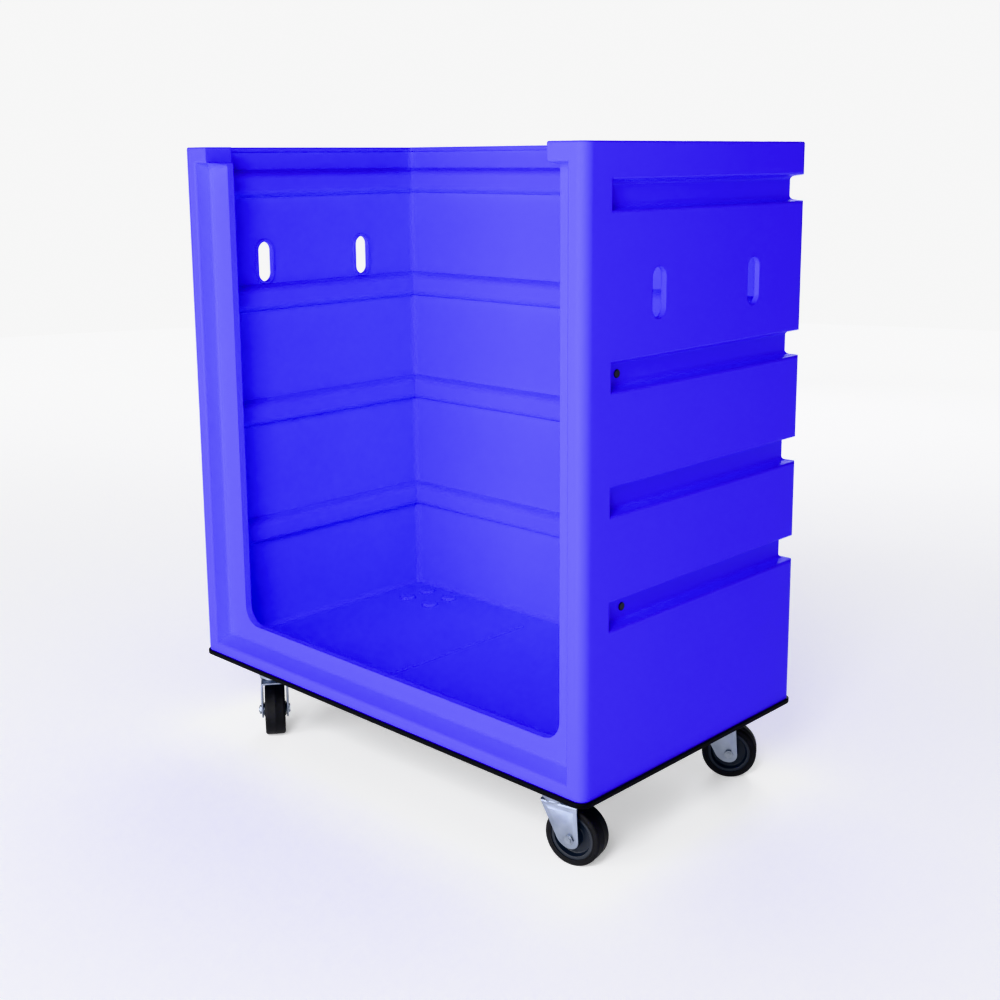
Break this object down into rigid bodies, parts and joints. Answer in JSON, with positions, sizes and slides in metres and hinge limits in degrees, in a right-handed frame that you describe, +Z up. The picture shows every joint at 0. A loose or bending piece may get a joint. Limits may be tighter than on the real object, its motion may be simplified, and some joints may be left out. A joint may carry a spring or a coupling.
{
  "type": "bulk laundry cart",
  "caption": "Open-front, open-top moulded plastic bulk cart on swivel casters, for wheeling linen or goods; grooved walls, hand slots and a black deck board.",
  "frame": {"origin": "on the floor under the middle of the cart, at the centre of its footprint", "axes": "+X to the right as one faces the open front, +Y to the back wall, +Z up"},
  "size_m": [1.28, 0.755, 1.47],
  "materials": {
    "blue_moulding": "satin rotationally moulded polyethylene",
    "black_plug": "moulded polyethylene plug",
    "black_board": "black painted plywood, sealed edges",
    "black_steel": "black powder coat",
    "zinc_steel": "bright zinc plated pressed steel",
    "ball_steel": "polished hardened steel",
    "bolt_steel": "zinc plated fastener",
    "core_plastic": "dark moulded nylon",
    "tyre_rubber": "black hard rubber"
  },
  "bodies": {
    "truck": {"body_shell": "blue_moulding", "vent_plugs": "black_plug", "base_deck": "black_board", "caster_rail_left": "black_steel", "caster_rail_right": "black_steel", "floor_inserts": "bolt_steel", "caster_bolts": "bolt_steel", "caster_washers": "bolt_steel", "front_left_top_plate": "zinc_steel", "front_left_ball_race": "ball_steel", "front_left_dust_cover": "zinc_steel", "front_left_kingpin": "zinc_steel", "front_right_top_plate": "zinc_steel", "front_right_ball_race": "ball_steel", "front_right_dust_cover": "zinc_steel", "front_right_kingpin": "zinc_steel", "rear_left_top_plate": "zinc_steel", "rear_left_ball_race": "ball_steel", "rear_left_dust_cover": "zinc_steel", "rear_left_kingpin": "zinc_steel", "rear_right_top_plate": "zinc_steel", "rear_right_ball_race": "ball_steel", "rear_right_dust_cover": "zinc_steel", "rear_right_kingpin": "zinc_steel"},
    "front_left_fork": {"front_left_fork": "zinc_steel", "front_left_axle_bolt": "bolt_steel", "front_left_axle_nut": "bolt_steel", "front_left_sleeve": "bolt_steel", "front_left_thrust_washers": "bolt_steel"},
    "front_left_wheel": {"front_left_wheel_core": "core_plastic", "front_left_tyre": "tyre_rubber"},
    "front_right_fork": {"front_right_fork": "zinc_steel", "front_right_axle_bolt": "bolt_steel", "front_right_axle_nut": "bolt_steel", "front_right_sleeve": "bolt_steel", "front_right_thrust_washers": "bolt_steel"},
    "front_right_wheel": {"front_right_wheel_core": "core_plastic", "front_right_tyre": "tyre_rubber"},
    "rear_left_fork": {"rear_left_fork": "zinc_steel", "rear_left_axle_bolt": "bolt_steel", "rear_left_axle_nut": "bolt_steel", "rear_left_sleeve": "bolt_steel", "rear_left_thrust_washers": "bolt_steel"},
    "rear_left_wheel": {"rear_left_wheel_core": "core_plastic", "rear_left_tyre": "tyre_rubber"},
    "rear_right_fork": {"rear_right_fork": "zinc_steel", "rear_right_axle_bolt": "bolt_steel", "rear_right_axle_nut": "bolt_steel", "rear_right_sleeve": "bolt_steel", "rear_right_thrust_washers": "bolt_steel"},
    "rear_right_wheel": {"rear_right_wheel_core": "core_plastic", "rear_right_tyre": "tyre_rubber"}
  },
  "joints": [
    {"name": "front_left_swivel", "type": "hinge", "parent": "truck", "child": "front_left_fork", "pos_m": [-0.488, -0.2725, 0.15], "axis": [0, 0, 1], "continuous": true},
    {"name": "front_left_wheel_spin", "type": "hinge", "parent": "front_left_fork", "child": "front_left_wheel", "pos_m": [-0.45513, -0.297, 0.0635], "axis": [0.5976, 0.8018, 0], "continuous": true},
    {"name": "front_right_swivel", "type": "hinge", "parent": "truck", "child": "front_right_fork", "pos_m": [0.488, -0.2725, 0.15], "axis": [0, 0, 1], "continuous": true},
    {"name": "front_right_wheel_spin", "type": "hinge", "parent": "front_right_fork", "child": "front_right_wheel", "pos_m": [0.52795, -0.26328, 0.0635], "axis": [-0.225, 0.9744, 0], "continuous": true},
    {"name": "rear_left_swivel", "type": "hinge", "parent": "truck", "child": "rear_left_fork", "pos_m": [-0.488, 0.2725, 0.15], "axis": [0, 0, 1], "continuous": true},
    {"name": "rear_left_wheel_spin", "type": "hinge", "parent": "rear_left_fork", "child": "rear_left_wheel", "pos_m": [-0.44947, 0.28652, 0.0635], "axis": [-0.342, 0.9397, 0], "continuous": true},
    {"name": "rear_right_swivel", "type": "hinge", "parent": "truck", "child": "rear_right_fork", "pos_m": [0.488, 0.2725, 0.15], "axis": [0, 0, 1], "continuous": true},
    {"name": "rear_right_wheel_spin", "type": "hinge", "parent": "rear_right_fork", "child": "rear_right_wheel", "pos_m": [0.52277, 0.29423, 0.0635], "axis": [-0.5299, 0.848, 0], "continuous": true}
  ]
}
